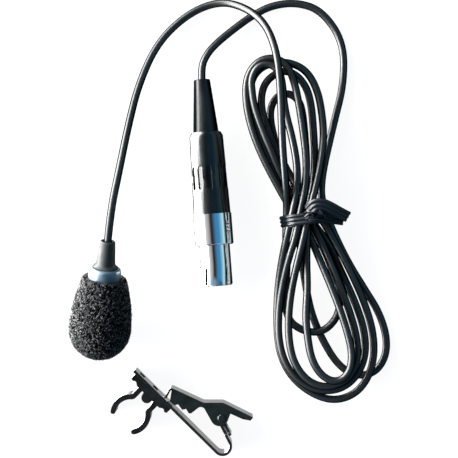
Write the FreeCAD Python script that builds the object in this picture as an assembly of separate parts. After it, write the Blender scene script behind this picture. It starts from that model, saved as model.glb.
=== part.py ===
import FreeCAD, Part
import math
import os

# A lavalier microphone laid out on a table: the mic head in its windscreen, a cord
# tied in a hank, the miniature plug, and the tie clip on its side next to the head.
# Millimetres. +Z is up from the table, +Y runs from the clip towards the mic's cord exit.

V = FreeCAD.Vector
UP = V(0, 0, 1)

# Clearances
seat_gap = 0.3          # between pieces that lie close without touching
fit_gap = 0.03          # all round a piece seated in another
running_gap = 0.05      # all round a pin that turns

# Cord
cord_diameter = 2.2
cord_sides = 6          # facets round the cord's section
wire_diameter = 0.5     # insulated conductors inside the housings
wire_sides = 4

# Microphone head, measured along its own axis from the windscreen's front
foam_radius = 9.18
foam_length = 24.6
foam_rear_radius = 6.4
foam_sides = 28         # facets round the foam
foam_front_bands = 5    # facets from the foam's nose to its widest place
foam_rear_bands = 5     # and from there to its rear rim
foam_grip_gap = 0.15
housing_radius = 4.5
housing_wall = 0.6
housing_length = 21.6
housing_show = 2.3      # the housing's length behind the windscreen
housing_rear_wall = 1.4
housing_rear_chamfer = 0.5
grille_recess = 0.2
grille_thickness = 0.6
grille_hole_radius = 0.6
grille_hole_pitch = 2.3
felt_thickness = 0.4
capsule_radius = 3.0
capsule_length = 2.7
capsule_port_radius = 0.6
capsule_port_depth = 0.3
board_thickness = 0.8
wire_circle_radius = 1.5
boot_length = 9.7
boot_base_radius = 2.95
boot_top_radius = 1.95
boot_neck_radius = 1.9
boot_flange_radius = 2.8
boot_flange_thickness = 0.8
boot_mouth_depth = 0.8
boot_mouth_gap = 0.2
mic_place = V(-17.1, 4.9, 0)    # below the middle of the windscreen's round front
mic_lean = 7.0                  # degrees off +Y, towards +X
mic_tilt = 16.0                 # degrees, cord end up

# Plug, measured along its axis from the mouth of the nose
nose_radius = 4.4
nose_length = 11.75
nose_front_radius = 4.2    # relieved ahead of the seat, where the latch's hook stands out
nose_seat_start = 6.3
shell_bore_radius = 3.9
barrel_radius = 5.55
barrel_length = 9.05
barrel_edge = 0.35
spigot_radius = 4.6
spigot_length = 6.2
sleeve_front_radius = 5.35
sleeve_rear_radius = 4.85
sleeve_length = 23.6
sleeve_shoulder = 1.1    # along the sleeve; its chamfer is half as deep
flute_count = 12
flute_width = 1.5
flute_length = 7.0
flute_depth = 0.45
flute_centre = 31.2
flute_first = 75.0      # turn of the first flute's edge from the plug's right side
insert_recess = 0.6
insert_length = 13.4
contact_count = 4
contact_circle_radius = 2.15
contact_radius = 0.72
contact_bore_radius = 0.5
contact_recess = 0.4
contact_web = 2.0        # solid length between the socket's bore and its tail
contact_tail = 3.0
clamp_radius = 3.4
clamp_length = 6.5
clamp_setback = 6.0      # ahead of the sleeve's rear end
clamp_slot = 0.8
clamp_slot_length = 4.55
wire_start = 1.0         # from the clamp's front into it
relief_neck_radius = 2.9
relief_length = 15.3
relief_base_radius = 3.7
relief_top_radius = 2.35
plug_nose_place = V(16.73, 18.04, 0)
plug_lean = 4.4                 # degrees off +Y, towards -X
latch_angle = 145.0             # round the plug, from its right side down and under
latch_width = 2.4
latch_thickness = 0.5
latch_under = 3.72              # the arm's inner face, from the plug's axis
latch_front = 4.0
latch_hook_length = 1.8
latch_hook_height = 0.5
latch_ramp_angle = 40.0         # of the hook's front face
latch_ramp_length = 0.7
latch_button_start = 13.6
latch_button_length = 4.4
latch_button_height = 0.5
latch_pivot = 19.2
latch_pivot_radius = 0.45
latch_travel = 3.0              # degrees
latch_side_gap = 0.3
leaf_thickness = 0.15           # of the spring under the latch's arm
leaf_half_length = 2.4
leaf_setback = 0.6

# Clip, lying on its side with its width along Z
clip_width = 7.0
strip_thickness = 0.8
strip_end = V(-7.4, -6.5, 0)    # middle of the strip's free end
strip_heading = -44.6           # degrees
strip_length = 33.5             # from the free end to the bend
bend_radius = 2.38              # to the middle of the strip
leg_heading_at_pin = 92.1       # degrees, from the bend's middle to the pin
leg_reach = 8.1                 # from the bend's middle to the pin
leg_width = 4.8
leg_shoulder = 4.7              # from the pin down to where the strip is full width
tail_gap = 0.3
tail_length = 5.6
tail_kink = 35.0                # degrees that the curl closes past half a turn
pin_radius = 0.65
pin_head_radius = 1.15
pin_head_height = 0.25
spring_slot_width = 2.3
spring_slot_reach = 3.2
spring_wire_diameter = 0.36
spring_pitch = 0.44
spring_turns = 2.5
spring_pin_gap = 0.14
spring_leg_arm = 3.2
spring_lever_arm = 2.6
jaw_sheet = 0.6
lip_along = 12.0                # where the lip meets the strip, from the strip's end
lip_fold = V(3.1, -11.6, 0)
jaw_bend_front = V(12.6, -16.0, 0)
jaw_bend_rear = V(18.3, -16.0, 0)
lever_end = V(26.8, -20.2, 0)
lip_fold_radius = 0.7
jaw_bend_radius = 2.5
lip_clearance = 0.4             # between the lip's middle line and the strip's face
cheek_teeth = (                 # corners of the toothed edge, from the lip to the arch
    (3.45, -11.95), (2.9, -15.4), (3.6, -15.9), (4.1, -16.5), (5.3, -16.2), (6.5, -17.8),
    (7.6, -17.5), (8.4, -18.8), (9.1, -18.8), (10.9, -17.4),
)
cheek_arch = ((12.1, -17.0), (13.1, -17.8))                  # its middle and its end
cheek_ear = ((15.0, -21.2), (17.3, -22.5), (19.7, -20.8))    # round the pin
cheek_rear = ((20.4, -18.9), (24.0, -20.5), (26.2, -20.9))   # under the thumb lever
holder_middle = 8.1             # along the strip, from its free end
holder_length = 14.3
holder_base = 2.1
holder_foot = 0.35
holder_foot_length = 0.9
holder_end_round = 0.4
holder_edge_drop = 0.6
holder_tab_height = 3.2
slot_length = 1.8
slot_places = (2.8, 8.1)
clamp_arm = 1.5
mic_clamp_radius = 4.35
mic_clamp_drop = 9.65           # from the strip's middle to the clamp's axis
stem_spread = 3.05
stem_bend_radius = 0.9
clamp_open_angle = 125.0        # degrees that each arm reaches round from the strip side
boss_width = 3.2
boss_drop = 4.5

# Hank, in its own frame: y along it, from the waist up to the shorter lobes
hank_place = V(41.7, 37.0, 0)
hank_lean = 9.3                 # degrees from +Y, towards -X
layer_rise = 2.75
waist_step = 3.6
waist_lift = 0.95
lobe_round = 1.3                # from a lobe's end to its widest place, in half widths
passes_per_layer = 3
# Each half turn's reach from the waist, and its left and right side, from the top layer down
lower_lobes = (
    (47.5, -12.0, 11.0), (32.0, -4.3, 4.6), (51.9, -12.3, 13.6),
    (49.0, -10.5, 12.3), (38.5, -6.0, 7.0), (44.5, -11.0, 20.5),
)
upper_lobes = (
    (46.0, -9.5, 6.5), (37.5, -6.0, 4.5), (47.3, -10.7, 9.1), (43.5, -7.0, 5.5), (45.0, -9.5, 7.3),
)
hank_entry = V(-3.4, 19.0, 12.9)
hank_crossing = V(-4.2, 11.5, 12.7)
hank_exit = V(4.9, 4.4, 1.95)   # past the last waist pass, leaning out to the plug's lead
hank_exit_lean = 13.0

# Twist tie
tie_width = 3.5
tie_thickness = 0.5
tie_slack = 0.35
tie_corner = 1.6
tie_knot_length = 3.2
tie_tail_length = 6.0
tie_tail_angles = (48.0, -12.0)

# Free stretches of the cord, from the boot to the hank and from the plug to the hank.
# Each starts with a run along its boot and ends with one along the hank's own end.
mic_lead_first = 9.5
mic_lead_route = (
    V(-10.7, 50.2, 18.2), V(-8.7, 63.0, 12.6), V(-6.1, 76.3, 6.4), V(-0.8, 89.1, 2.2),
    V(8.2, 97.8, 1.15), V(17.4, 101.2, 1.6), V(25.0, 98.4, 5.9), V(30.4, 93.2, 9.6),
    V(33.3, 85.4, 12.6), V(34.5, 75.8, 13.9),
)
mic_lead_last = 9.0
plug_lead_first = 4.0
plug_lead_route = (
    V(13.2, 84.6, 4.6), V(16.0, 88.2, 3.4), V(21.0, 92.6, 1.9), V(26.5, 96.8, 1.1),
    V(32.5, 100.0, 1.1), V(40.0, 100.9, 1.1), V(47.3, 98.4, 1.1), V(53.6, 89.3, 1.1),
    V(53.7, 76.9, 1.1), V(50.6, 64.9, 1.1),
)
plug_lead_last = 10.5

cord_radius = cord_diameter / 2
bend_share = 0.45


def heading(degrees, length=1.0):
    """A vector in the table's plane at an angle from +X."""
    turn = math.radians(degrees)
    return V(math.cos(turn), math.sin(turn), 0) * length


def placed(shape, origin, x_axis, z_axis):
    """The shape moved from its own axes to the ones given."""
    y_axis = z_axis.cross(x_axis)
    turn = FreeCAD.Matrix(
        x_axis.x, y_axis.x, z_axis.x, origin.x,
        x_axis.y, y_axis.y, z_axis.y, origin.y,
        x_axis.z, y_axis.z, z_axis.z, origin.z,
        0, 0, 0, 1,
    )
    result = shape.copy()
    result.transformShape(turn)
    return result


def line(start, end):
    return Part.LineSegment(start, end).toShape()


def arc(start, middle, end):
    return Part.Arc(start, middle, end).toShape()


def face_of(edges):
    return Part.Face(Part.Wire(edges))


def outline(points):
    """A closed face through corners in order."""
    return Part.Face(Part.makePolygon(list(points) + [points[0]]))


def spun(edges):
    """A solid of revolution about Z from edges in the XZ plane."""
    return face_of(edges).revolve(V(0, 0, 0), UP, 360)


def turned(profile):
    """A solid of revolution from straight (radius, height) corners."""
    return outline([V(r, 0, z) for r, z in profile]).revolve(V(0, 0, 0), UP, 360)


def rod(radius, start, end):
    """A round bar between two points."""
    way = end - start
    return Part.makeCylinder(radius, way.Length, start, way)


def faceted(nose, rings):
    """A closed solid of flat facets from a point, through rings of corners, to the last ring."""
    faces = [outline([nose, b, a]) for a, b in zip(rings[0], rings[0][1:] + rings[0][:1])]
    for low, high in zip(rings, rings[1:]):
        sides = zip(low, low[1:] + low[:1], high[1:] + high[:1], high)
        faces += [outline(corners) for corners in sides]
    faces.append(outline(rings[-1]))
    return Part.Solid(Part.Shell(faces))


def tube(inner, outer, low, high):
    return rod(outer, UP * low, UP * high).cut(rod(inner, UP * low, UP * high))


def fused(shapes):
    whole = shapes[0].multiFuse(shapes[1:])
    return whole.removeSplitter()


def rounded_corners(points, radii):
    """Straight runs through the points with a tangent arc of its own radius at each inner one.

    Gives the path as pieces: (start, end) for a line, (start, middle, end, centre) for an arc.
    """
    pieces = []
    at = points[0]
    for before, corner, after, radius in zip(points, points[1:], points[2:], radii):
        back = (before - corner).normalize()
        ahead = (after - corner).normalize()
        half = back.getAngle(ahead) / 2
        trim = radius / math.tan(half)
        inward = (back + ahead).normalize()
        centre = corner + inward * (radius / math.sin(half))
        start = corner + back * trim
        end = corner + ahead * trim
        if (start - at).Length > 1e-6:
            pieces.append((at, start))
        pieces.append((start, centre - inward * radius, end, centre))
        at = end
    if (points[-1] - at).Length > 1e-6:
        pieces.append((at, points[-1]))
    return pieces


def path_of(pieces):
    edges = [line(*p) if len(p) == 2 else arc(*p[:3]) for p in pieces]
    return Part.Wire(edges)


def swept(path, radius, sides):
    """A tube along a path of lines and arcs, its section a polygon with corners at the radius."""
    first = path.OrderedEdges[0]
    start = path.OrderedVertexes[0].Point
    forward = (start - first.valueAt(first.FirstParameter)).Length < 1e-6
    tangent = first.tangentAt(first.FirstParameter if forward else first.LastParameter)
    across = tangent.cross(V(0.1, 0.2, 1)).normalize()
    beside = tangent.cross(across).normalize()
    corners = []
    for n in range(sides):
        turn = 2 * math.pi * (n + 0.5) / sides
        corners.append(start + (across * math.cos(turn) + beside * math.sin(turn)) * radius)
    ring = Part.makePolygon(corners + corners[:1])
    return path.makePipeShell([ring], True, False)


def bend_corners(centre, radius, from_heading, to_heading, count):
    """Corner points whose tangent arcs make one round bend about a centre."""
    step = (to_heading - from_heading) / count
    side = -90 if step > 0 else 90
    reach = radius / math.cos(math.radians(step / 2))
    middles = [from_heading + step * (n + 0.5) for n in range(count)]
    return [centre + heading(m + side, reach) for m in middles]


def ribbon(points, radii, thickness):
    """The face of a bent strip of even thickness, flat in XY, along its middle line."""
    half = thickness / 2
    left = []
    right = []
    for piece in rounded_corners(points, radii):
        start, end = piece[0], piece[1] if len(piece) == 2 else piece[2]
        if len(piece) == 2:
            out = UP.cross(end - start).normalize() * half
            left.append(line(start + out, end + out))
            right.append(line(start - out, end - out))
            continue
        middle, centre = piece[1], piece[3]
        turn = (start - centre).cross(end - centre).z
        side = -half if turn > 0 else half
        left.append(arc(*[p + (p - centre).normalize() * side for p in (start, middle, end)]))
        right.append(arc(*[p - (p - centre).normalize() * side for p in (start, middle, end)]))
    caps = []
    for edges in ((left[0], right[0], 0), (left[-1], right[-1], 1)):
        a = edges[0].Vertexes[edges[2]].Point
        b = edges[1].Vertexes[edges[2]].Point
        caps.append(line(a, b))
    loop = Part.__sortEdges__(left + right + caps)
    return Part.Face(Part.Wire(loop))


def slab(face, low, high):
    """A flat face in XY made solid between two heights."""
    lifted = face.copy()
    lifted.translate(UP * low)
    return lifted.extrude(UP * (high - low))


def crossing(a, a_way, b, b_way):
    """Where two lines in the table's plane meet."""
    across = a_way.cross(b_way).z
    return a + a_way * ((b - a).cross(b_way).z / across)


def on_ring(radius, count, first=0.0):
    """Points spaced evenly round a circle in XY."""
    return [heading(first + 360.0 * n / count, radius) for n in range(count)]


# Places worked out from the values above

housing_rear = foam_length + housing_show
housing_front = housing_rear - housing_length
housing_bore_radius = housing_radius - housing_wall
grille_front = housing_front + grille_recess
felt_front = grille_front + grille_thickness
capsule_front = felt_front + felt_thickness
board_front = capsule_front + capsule_length
board_rear = board_front + board_thickness
neck_front = housing_rear - housing_rear_wall - boot_flange_thickness
boot_end = housing_rear + boot_length
boot_mouth = boot_end - boot_mouth_depth
mic_side = heading(-mic_lean)
mic_flat = heading(90 - mic_lean)
mic_axis = mic_flat * math.cos(math.radians(mic_tilt)) + UP * math.sin(math.radians(mic_tilt))
mic_origin = mic_place + UP * foam_radius - mic_axis * foam_radius

sleeve_front = nose_length + barrel_length
sleeve_rear = sleeve_front + sleeve_length
spigot_end = sleeve_front + spigot_length
insert_rear = insert_recess + insert_length
plug_end = sleeve_rear + relief_length
plug_mouth = plug_end - boot_mouth_depth
plug_side = heading(plug_lean)
plug_axis = heading(90 + plug_lean)
plug_origin = plug_nose_place + UP * barrel_radius
clamp_rear = sleeve_rear - clamp_setback
clamp_front = clamp_rear - clamp_length

strip_way = heading(strip_heading)
strip_out = heading(strip_heading - 90)     # from the strip towards the mic clamp
bend_middle = strip_end + strip_way * strip_length - strip_out * bend_radius
pin_place = bend_middle + heading(leg_heading_at_pin, leg_reach)
curl_radius = pin_radius + running_gap + strip_thickness / 2
leg_turn = math.degrees(math.asin((bend_radius + curl_radius) / leg_reach))
leg_heading = leg_heading_at_pin + leg_turn
cheek_inset = pin_head_height
leg_low = (clip_width - leg_width) / 2
slot_low = (clip_width - spring_slot_width) / 2


def in_mic(shape):
    return placed(shape, mic_origin, mic_side, mic_axis)


def in_plug(shape):
    return placed(shape, plug_origin, plug_side, plug_axis)


def at_strip(along, out):
    """A point from the strip's free end, out towards the mic clamp."""
    return strip_end + strip_way * along + strip_out * out


def foam_profile():
    """Radius and height from the foam's round front, along one long arc to its rear rim."""
    profile = []
    for n in range(1, foam_front_bands + 1):
        turn = math.pi / 2 * n / foam_front_bands
        profile.append((foam_radius * math.sin(turn), foam_radius * (1 - math.cos(turn))))
    run = foam_length - foam_radius
    drop = foam_radius - foam_rear_radius
    sweep = (run * run + drop * drop) / (2 * drop)
    for n in range(1, foam_rear_bands + 1):
        along = run * n / foam_rear_bands
        fall = sweep - math.sqrt(sweep * sweep - along * along)
        profile.append((foam_radius - fall, foam_radius + along))
    return profile


def windscreen():
    """A slip-on foam ball, open at the rear for the housing."""
    rings = [[p + UP * height for p in on_ring(radius, foam_sides)] for radius, height in foam_profile()]
    foam = faceted(V(0, 0, 0), rings)
    top = housing_front - seat_gap
    bore = rod(housing_radius + foam_grip_gap, UP * top, UP * (foam_length + 1))
    return in_mic(foam.cut(bore))


def mic_housing():
    inner = housing_bore_radius
    back = housing_rear - housing_rear_wall
    edge = housing_rear_chamfer
    neck = boot_neck_radius + fit_gap
    return in_mic(turned([
        (inner, housing_front), (housing_radius, housing_front), (housing_radius, housing_rear - edge),
        (housing_radius - edge, housing_rear), (neck, housing_rear), (neck, back), (inner, back),
    ]))


def hexagon(radius, place, height):
    return outline([place + p for p in on_ring(radius, 6)]).extrude(UP * height)


def mic_grille():
    disc = rod(housing_bore_radius - fit_gap, UP * grille_front, UP * felt_front)
    places = [V(0, 0, 0)] + on_ring(grille_hole_pitch, 6)
    holes = [hexagon(grille_hole_radius, p + UP * grille_front, grille_thickness) for p in places]
    return in_mic(disc.cut(Part.Compound(holes)))


def capsule_felt():
    return in_mic(rod(housing_bore_radius - fit_gap, UP * felt_front, UP * capsule_front))


def electret_capsule():
    can = rod(capsule_radius, UP * capsule_front, UP * board_front)
    port = rod(capsule_port_radius, UP * capsule_front, UP * (capsule_front + capsule_port_depth))
    return in_mic(can.cut(port))


def capsule_gasket():
    ring = tube(capsule_radius + fit_gap, housing_bore_radius - fit_gap, capsule_front, board_front)
    return in_mic(ring)


def capsule_board():
    return in_mic(rod(housing_bore_radius - fit_gap, UP * board_front, UP * board_rear))


def mic_wires():
    """Three conductors from the board to the boot's flange, each with a slack bow."""
    wires = []
    low = board_rear + wire_diameter / 2
    high = neck_front - wire_diameter / 2
    for place in on_ring(wire_circle_radius, 3, 90):
        bow = place * 1.5 + UP * ((low + high) / 2)
        path = Part.Wire([arc(place + UP * low, bow, place + UP * high)])
        wires.append(swept(path, wire_diameter / 2, wire_sides))
    return in_mic(Part.Compound(wires))


def mouth(end, depth):
    return rod(cord_radius + boot_mouth_gap, UP * (end - depth), UP * end)


def mic_boot():
    back = housing_rear - housing_rear_wall
    body = turned([
        (0, neck_front), (boot_flange_radius, neck_front), (boot_flange_radius, back),
        (boot_neck_radius, back), (boot_neck_radius, housing_rear), (boot_base_radius, housing_rear),
        (boot_top_radius, boot_end), (0, boot_end),
    ])
    return in_mic(body.cut(mouth(boot_end, boot_mouth_depth)))


def latch_box(low, high, inner, outer, width):
    """A block on the latch's side of the plug, between two distances from its axis."""
    block = Part.makeBox(outer - inner, width, high - low, V(inner, -width / 2, low))
    block.rotate(V(0, 0, 0), UP, latch_angle)
    return block


def latch_axle(radius, width):
    """A bar across the latch's hinge line."""
    across = heading(90 + latch_angle)
    middle = heading(latch_angle, latch_under + latch_thickness) + UP * latch_pivot
    return rod(radius, middle - across * (width / 2), middle + across * (width / 2))


def plug_barrel():
    edge = barrel_edge
    step = nose_radius - nose_front_radius
    shell = turned([
        (shell_bore_radius, spigot_end), (spigot_radius, spigot_end), (spigot_radius, sleeve_front),
        (barrel_radius, sleeve_front), (barrel_radius, nose_length + edge), (barrel_radius - edge, nose_length),
        (nose_radius, nose_length), (nose_radius, nose_seat_start), (nose_front_radius, nose_seat_start - step),
        (nose_front_radius, edge), (nose_front_radius - edge, 0), (shell_bore_radius, 0),
    ])
    wide = latch_width + 2 * latch_side_gap
    arm_top = latch_under + latch_thickness
    channel = latch_box(latch_front - 1, latch_pivot, 0, arm_top + running_gap, wide)
    hook = latch_box(latch_front - latch_side_gap, latch_front + latch_hook_length + latch_side_gap,
                     0, barrel_radius, wide)
    button_end = latch_button_start + latch_button_length
    window = latch_box(latch_button_start - latch_side_gap, button_end + latch_side_gap,
                       0, 2 * barrel_radius, wide)
    pocket = latch_axle(latch_pivot_radius + running_gap, wide + 1.0)
    return in_plug(shell.cut(Part.Compound([channel, hook])).cut(window).cut(pocket))


def flute_at(surface):
    """The cutter for one long groove with rounded ends, in the sleeve's surface."""
    straight = (flute_length - flute_width) / 2
    round_end = flute_width / 2
    floor = surface - flute_depth
    low = flute_centre - straight
    high = flute_centre + straight
    corners = []
    for turn in (0, 45, 135, 180):
        side = round_end * math.cos(math.radians(turn))
        corners.append(V(floor, side, high + round_end * math.sin(math.radians(turn))))
    for turn in (180, 225, 315, 360):
        side = round_end * math.cos(math.radians(turn))
        corners.append(V(floor, side, low + round_end * math.sin(math.radians(turn))))
    return outline(corners).extrude(V(2 * flute_depth, 0, 0))


def plug_sleeve():
    rear = sleeve_rear
    spigot_bore = spigot_radius + fit_gap
    clamp_bore = clamp_radius + fit_gap
    neck = relief_neck_radius + fit_gap
    shoulder = rear - sleeve_shoulder
    body = turned([
        (spigot_bore, sleeve_front), (sleeve_front_radius, sleeve_front), (sleeve_rear_radius, shoulder),
        (sleeve_rear_radius - sleeve_shoulder / 2, rear), (neck, rear), (neck, clamp_rear),
        (clamp_bore, clamp_rear), (clamp_bore, spigot_end), (spigot_bore, spigot_end),
    ])
    share = (flute_centre - sleeve_front) / (shoulder - sleeve_front)
    surface = sleeve_front_radius + (sleeve_rear_radius - sleeve_front_radius) * share
    flute = flute_at(surface)
    flutes = []
    for n in range(flute_count):
        turned_flute = flute.copy()
        turned_flute.rotate(V(0, 0, 0), UP, 360.0 * (n + 0.5) / flute_count + flute_first)
        flutes.append(turned_flute)
    return in_plug(body.cut(Part.Compound(flutes)))


def contact_places():
    return on_ring(contact_circle_radius, contact_count, latch_angle + 180.0 / contact_count)


def plug_insert():
    body = rod(shell_bore_radius - fit_gap, UP * insert_recess, UP * insert_rear)
    floor = latch_under - math.tan(math.radians(latch_travel)) * latch_pivot - running_gap
    groove = latch_box(0, latch_pivot, floor, barrel_radius, latch_width + 2 * latch_side_gap)
    holes = [
        rod(contact_radius + fit_gap, p, p + UP * insert_rear) for p in contact_places()
    ]
    return in_plug(body.cut(Part.Compound([groove] + holes)))


def plug_contacts():
    """Four sockets with solder tails behind the insert."""
    front = insert_recess + contact_recess
    rear = insert_rear + contact_tail
    bore_end = insert_rear - contact_web
    contacts = []
    for place in contact_places():
        body = rod(contact_radius, place + UP * front, place + UP * rear)
        socket = rod(contact_bore_radius, place + UP * front, place + UP * bore_end)
        contacts.append(body.cut(socket))
    return in_plug(Part.Compound(contacts))


def plug_clamp():
    """A slotted collet that grips the cord inside the sleeve."""
    ring = tube(cord_radius + fit_gap, clamp_radius, clamp_front, clamp_rear)
    slots = []
    for n in range(2):
        width = 3 * clamp_radius
        slot = Part.makeBox(width, clamp_slot, clamp_slot_length,
                            V(-width / 2, -clamp_slot / 2, clamp_front))
        slot.rotate(V(0, 0, 0), UP, 90 * n)
        slots.append(slot)
    return in_plug(ring.cut(Part.Compound(slots)))


def plug_wires():
    """Four conductors fanning out from the cord's end to the solder tails."""
    wires = []
    start_height = clamp_front + wire_start
    end_height = insert_rear + contact_tail + wire_diameter / 2
    for place in contact_places():
        near = place * 0.24
        low = place + UP * end_height
        high = near + UP * start_height
        bow = place * 0.85 + UP * (end_height * 0.45 + start_height * 0.55)
        wires.append(swept(Part.Wire([arc(high, bow, low)]), wire_diameter / 2, wire_sides))
    return in_plug(Part.Compound(wires))


def plug_boot():
    body = turned([
        (0, clamp_rear), (relief_neck_radius, clamp_rear), (relief_neck_radius, sleeve_rear),
        (relief_base_radius, sleeve_rear), (relief_top_radius, plug_end), (0, plug_end),
    ])
    return in_plug(body.cut(mouth(plug_end, boot_mouth_depth)))


def plug_latch():
    """An arm hinged behind its button, with a hook that stands out of the nose."""
    top = latch_under + latch_thickness
    button_end = latch_button_start + latch_button_length
    arm = latch_box(latch_front, latch_pivot, latch_under, top, latch_width)
    hook = latch_box(latch_front, latch_front + latch_hook_length,
                     latch_under, nose_radius + latch_hook_height, latch_width)
    tip = heading(latch_angle, nose_radius + latch_hook_height) + UP * latch_front
    ramp = latch_box(-2, 0, -1, 3, 2 * latch_width)
    ramp.rotate(V(0, 0, 0), heading(90 + latch_angle), latch_ramp_angle)
    ramp.translate(tip + UP * latch_ramp_length)
    button = latch_box(latch_button_start, button_end, latch_under,
                       barrel_radius + latch_button_height, latch_width)
    axle = latch_axle(latch_pivot_radius, latch_width + 1.0)
    return in_plug(fused([arm, hook.cut(ramp), button, axle]))


def latch_spring():
    """A bowed leaf between the insert and the latch's arm."""
    floor = latch_under - math.tan(math.radians(latch_travel)) * latch_pivot - running_gap
    low = floor + running_gap
    high = latch_under - running_gap
    leaf = leaf_thickness
    half = leaf_half_length
    middle = insert_rear - half - leaf_setback
    inner = face_of([
        arc(V(low, 0, middle - half), V(high - leaf, 0, middle), V(low, 0, middle + half)),
        line(V(low, 0, middle + half), V(low + leaf, 0, middle + half)),
        arc(V(low + leaf, 0, middle + half), V(high, 0, middle), V(low + leaf, 0, middle - half)),
        line(V(low + leaf, 0, middle - half), V(low, 0, middle - half)),
    ])
    body = inner.extrude(V(0, latch_width / 2, 0)).fuse(inner.extrude(V(0, -latch_width / 2, 0)))
    body = body.removeSplitter()
    body.rotate(V(0, 0, 0), UP, latch_angle)
    return in_plug(body)


def strip_corners():
    """The strip's middle line: free end, U bend, leg, curl round the pin, and tail."""
    bend = bend_corners(bend_middle, bend_radius, strip_heading, leg_heading, 2)
    curl_end = leg_heading - 180 - tail_kink
    curl = bend_corners(pin_place, curl_radius, leg_heading, curl_end, 3)
    off_curl = pin_place + heading(curl_end + 90, curl_radius)
    leg_foot = bend_middle + heading(leg_heading - 90, bend_radius)
    down = heading(leg_heading + 180)
    beside = leg_foot + heading(leg_heading - 90, strip_thickness + tail_gap)
    kink = crossing(off_curl, heading(curl_end), beside, down)
    points = [strip_end] + bend + curl + [kink, pin_place]
    along = (kink - pin_place).dot(down)
    points[-1] = kink + down * (tail_length - along)
    radii = [bend_radius] * 2 + [curl_radius] * 3 + [curl_radius]
    return points, radii


def clip_strip():
    points, radii = strip_corners()
    face = ribbon(points, radii, strip_thickness)
    body = slab(face, 0, clip_width)
    up = heading(leg_heading)
    across = heading(leg_heading - 90)
    shoulder = pin_place - up * leg_shoulder
    zone = 12.0     # wider and longer than the leg above its shoulder
    corner = shoulder - across * 4
    near_pin = outline([corner, corner + across * zone, corner + across * zone + up * zone,
                        corner + up * zone])
    body = body.cut(slab(near_pin, -1, leg_low))
    body = body.cut(slab(near_pin, clip_width - leg_low, clip_width + 1))
    slot = Part.makeCylinder(spring_slot_reach, spring_slot_width, pin_place + UP * slot_low)
    body = body.cut(slot)
    for along in slot_places:
        corners = [(-slot_length / 2, -2), (slot_length / 2, -2), (slot_length / 2, 2), (-slot_length / 2, 2)]
        window = outline([at_strip(along + a, out) for a, out in corners])
        half = holder_tab_height / 2 + fit_gap
        body = body.cut(slab(window, clip_width / 2 - half, clip_width / 2 + half))
    return body


def jaw_cheek():
    """The toothed side wall of the jaw, from the lip to the thumb lever."""
    teeth = [V(x, y, 0) for x, y in cheek_teeth]
    arch_middle, arch_end = [V(x, y, 0) for x, y in cheek_arch]
    ear_start, ear_middle, ear_end = [V(x, y, 0) for x, y in cheek_ear]
    rear = [V(x, y, 0) for x, y in cheek_rear]
    edges = [line(a, b) for a, b in zip(teeth, teeth[1:])]
    edges.append(arc(teeth[-1], arch_middle, arch_end))
    edges.append(line(arch_end, ear_start))
    edges.append(arc(ear_start, ear_middle, ear_end))
    last = [ear_end] + rear + [lever_end, jaw_bend_rear, jaw_bend_front, teeth[0]]
    edges += [line(a, b) for a, b in zip(last, last[1:])]
    return face_of(edges)


def clip_jaw():
    lip_tip = at_strip(lip_along, -(strip_thickness / 2 + lip_clearance))
    points = [lip_tip, lip_fold, jaw_bend_front, jaw_bend_rear, lever_end]
    sheet = ribbon(points, [lip_fold_radius, jaw_bend_radius, jaw_bend_radius], jaw_sheet)
    low = cheek_inset
    high = clip_width - cheek_inset
    plate = slab(sheet, low, high)
    cheek = jaw_cheek()
    walls = [slab(cheek, low, low + jaw_sheet), slab(cheek, high - jaw_sheet, high)]
    hole = Part.makeCylinder(pin_radius + fit_gap, clip_width, pin_place)
    return fused([plate] + walls).cut(hole)


def clip_pin():
    shank = Part.makeCylinder(pin_radius, clip_width, pin_place)
    low = Part.makeCone(pin_head_radius * 0.8, pin_head_radius, pin_head_height, pin_place)
    top_place = pin_place + UP * (clip_width - pin_head_height)
    top = Part.makeCone(pin_head_radius, pin_head_radius * 0.8, pin_head_height, top_place)
    return fused([shank, low, top])


def biarc(start, start_way, end, end_way):
    """Two arcs that leave the start and reach the end along the given ways."""
    gap = end - start
    ways = start_way + end_way
    spread = 2 * (1 - start_way.dot(end_way))
    if spread < 1e-9:
        reach = gap.dot(gap) / (4 * gap.dot(end_way))
    else:
        lean = gap.dot(ways)
        reach = (math.sqrt(lean * lean + spread * gap.dot(gap)) - lean) / spread
    first = start + start_way * reach
    second = end - end_way * reach
    meet = (first + second) * 0.5
    return [bent(start, first, meet), bent(meet, second, end)]


def bent(start, corner, end):
    """An arc that is tangent to the two equal legs of a corner, or a line."""
    back = (start - corner).normalize()
    ahead = (end - corner).normalize()
    half = back.getAngle(ahead) / 2
    if math.pi / 2 - half < 1e-5:
        return line(start, end)
    radius = (start - corner).Length * math.tan(half)
    inward = (back + ahead).normalize()
    return arc(start, corner + inward * (radius / math.sin(half) - radius), end)


def clip_spring():
    """A torsion spring on the pin: one arm lies down the leg, the other under the lever."""
    radius = pin_radius + spring_pin_gap + spring_wire_diameter / 2
    bottom = clip_width / 2 - spring_pitch * spring_turns / 2
    start_angle = leg_heading + 90
    steps = int(round(spring_turns * 2))
    climb = spring_pitch / 2
    slope = V(0, 0, climb / (math.pi * radius))
    nodes = []
    for n in range(steps + 1):
        angle = start_angle + 180 * n
        way = (heading(angle + 90) + slope).normalize()
        nodes.append((pin_place + heading(angle, radius) + UP * (bottom + climb * n), way))
    edges = []
    first, first_way = nodes[0]
    edges.append(line(first - first_way * spring_leg_arm, first))
    for (a, a_way), (b, b_way) in zip(nodes, nodes[1:]):
        edges += biarc(a, a_way, b, b_way)
    last, last_way = nodes[-1]
    edges.append(line(last, last + last_way * spring_lever_arm))
    return swept(Part.Wire(edges), spring_wire_diameter / 2, wire_sides)


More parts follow.
